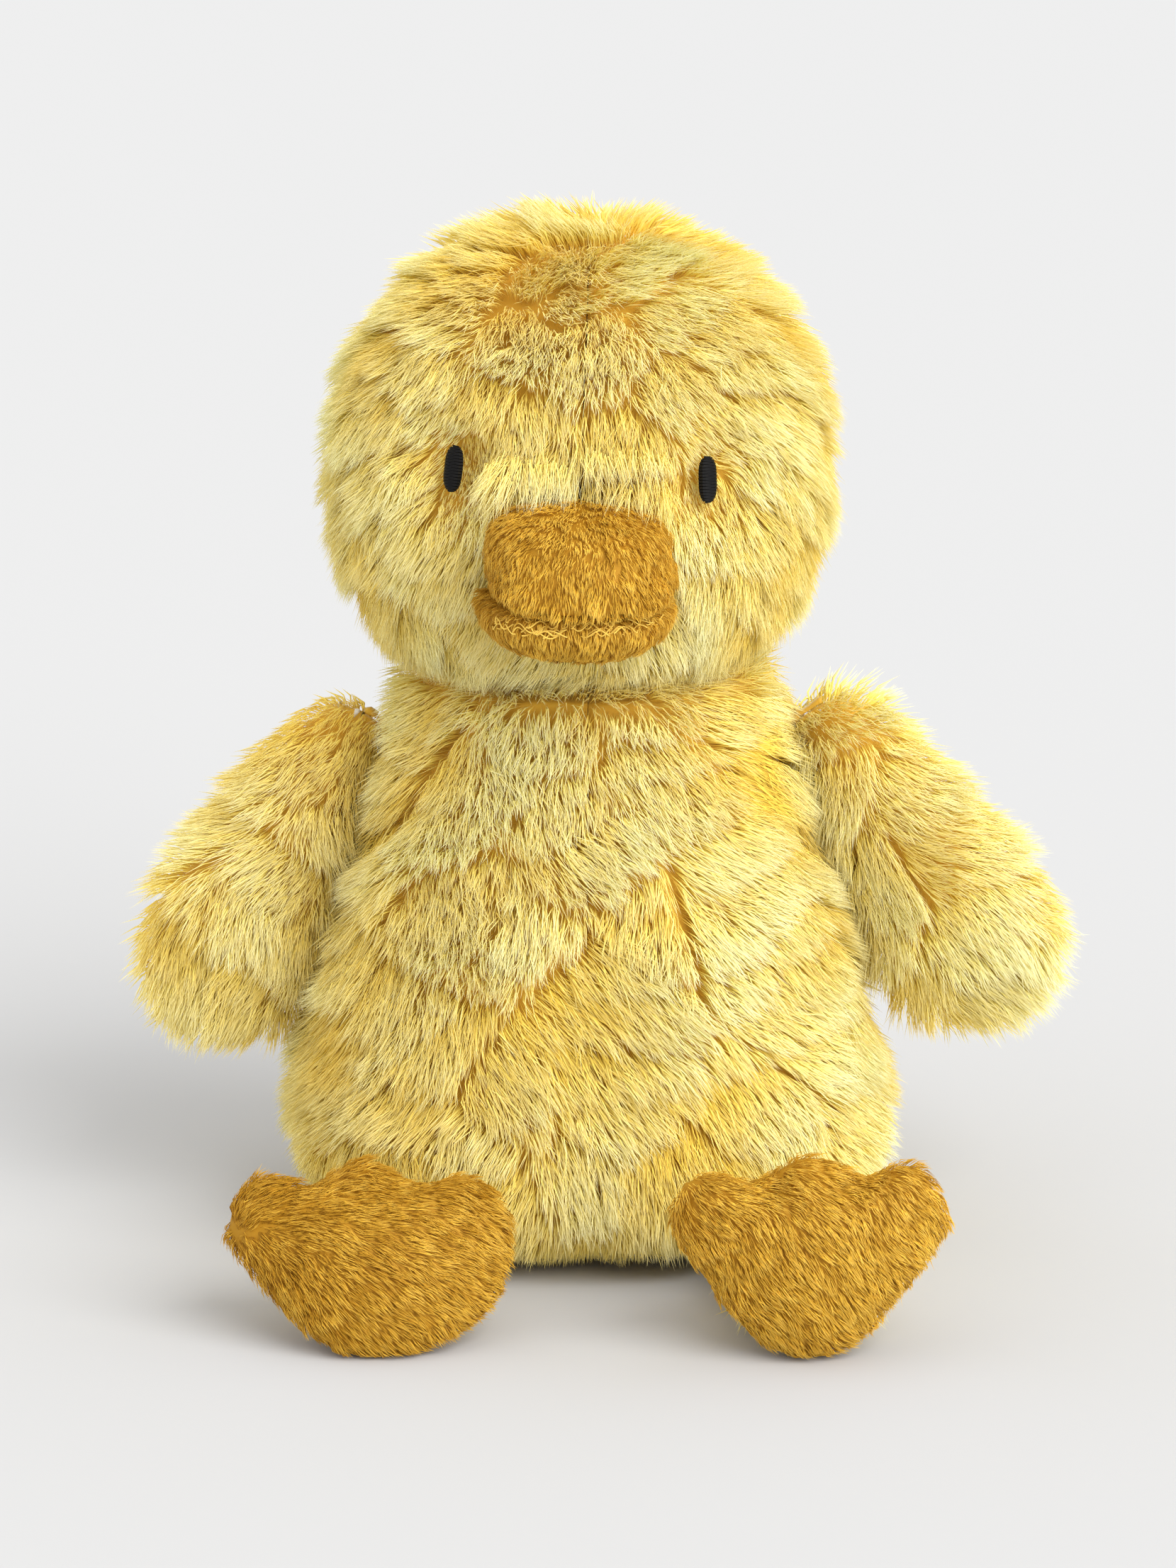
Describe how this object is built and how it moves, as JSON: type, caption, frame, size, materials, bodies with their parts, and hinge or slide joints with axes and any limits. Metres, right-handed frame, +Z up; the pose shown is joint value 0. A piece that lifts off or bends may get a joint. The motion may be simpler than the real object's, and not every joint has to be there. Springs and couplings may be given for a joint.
{
  "type": "plush chick",
  "caption": "Sitting plush chick with a round head, a broad stuffed bill, sewn-on wings, webbed feet that stand on their heels and a flat weighted seat.",
  "frame": {"origin": "centre of the flat seat on the surface that the chick sits on", "axes": "+Z up, the chick faces -Y and its own left side is +X"},
  "size_m": [0.1865, 0.1494, 0.2054],
  "materials": {
    "fur_cloth": "long-pile pale yellow fur cloth",
    "plush_cloth": "short-pile ochre plush cloth",
    "eye_thread": "black satin stitch",
    "fibre_fill": "loose white polyester fibre",
    "pouch_cotton": "plain cotton bag of pellets"
  },
  "bodies": {
    "body": {"body_front_left": "fur_cloth", "body_front_right": "fur_cloth", "body_back_left": "fur_cloth", "body_back_right": "fur_cloth", "seat_panel": "fur_cloth", "body_stuffing": "fibre_fill", "pellet_pouch": "pouch_cotton"},
    "head": {"face_left": "fur_cloth", "face_right": "fur_cloth", "head_back_left": "fur_cloth", "head_back_right": "fur_cloth", "head_stuffing": "fibre_fill", "bill_upper": "plush_cloth", "bill_lower": "plush_cloth", "bill_stuffing": "fibre_fill", "eye_left": "eye_thread", "eye_right": "eye_thread"},
    "wing_left": {"wing_left_front": "fur_cloth", "wing_left_back": "fur_cloth", "wing_left_stuffing": "fibre_fill"},
    "wing_right": {"wing_right_front": "fur_cloth", "wing_right_back": "fur_cloth", "wing_right_stuffing": "fibre_fill"},
    "leg_left": {"leg_left_cover": "fur_cloth", "leg_left_stuffing": "fibre_fill", "foot_left_sole": "plush_cloth", "foot_left_upper": "plush_cloth", "foot_left_stuffing": "fibre_fill"},
    "leg_right": {"leg_right_cover": "fur_cloth", "leg_right_stuffing": "fibre_fill", "foot_right_sole": "plush_cloth", "foot_right_upper": "plush_cloth", "foot_right_stuffing": "fibre_fill"}
  },
  "joints": [
    {"name": "head_turn", "type": "hinge", "parent": "body", "child": "head", "pos_m": [0, 0, 0.118], "axis": [0, 0, 1], "range_deg": [-35, 35], "stiffness_Nm_per_rad": 0.3},
    {"name": "wing_left_swing", "type": "hinge", "parent": "body", "child": "wing_left", "pos_m": [0.03711, 0, 0.112], "axis": [0.2821, 0, -0.9594], "range_deg": [-40, 40], "stiffness_Nm_per_rad": 0.05},
    {"name": "wing_right_swing", "type": "hinge", "parent": "body", "child": "wing_right", "pos_m": [-0.03711, 0, 0.112], "axis": [-0.2821, 0, -0.9594], "range_deg": [-40, 40], "stiffness_Nm_per_rad": 0.05},
    {"name": "leg_left_raise", "type": "hinge", "parent": "body", "child": "leg_left", "pos_m": [0.038, -0.03804, 0.005], "axis": [-1, 0, 0], "range_deg": [0, 25]},
    {"name": "leg_right_raise", "type": "hinge", "parent": "body", "child": "leg_right", "pos_m": [-0.038, -0.03804, 0.005], "axis": [-1, 0, 0], "range_deg": [0, 25]}
  ]
}
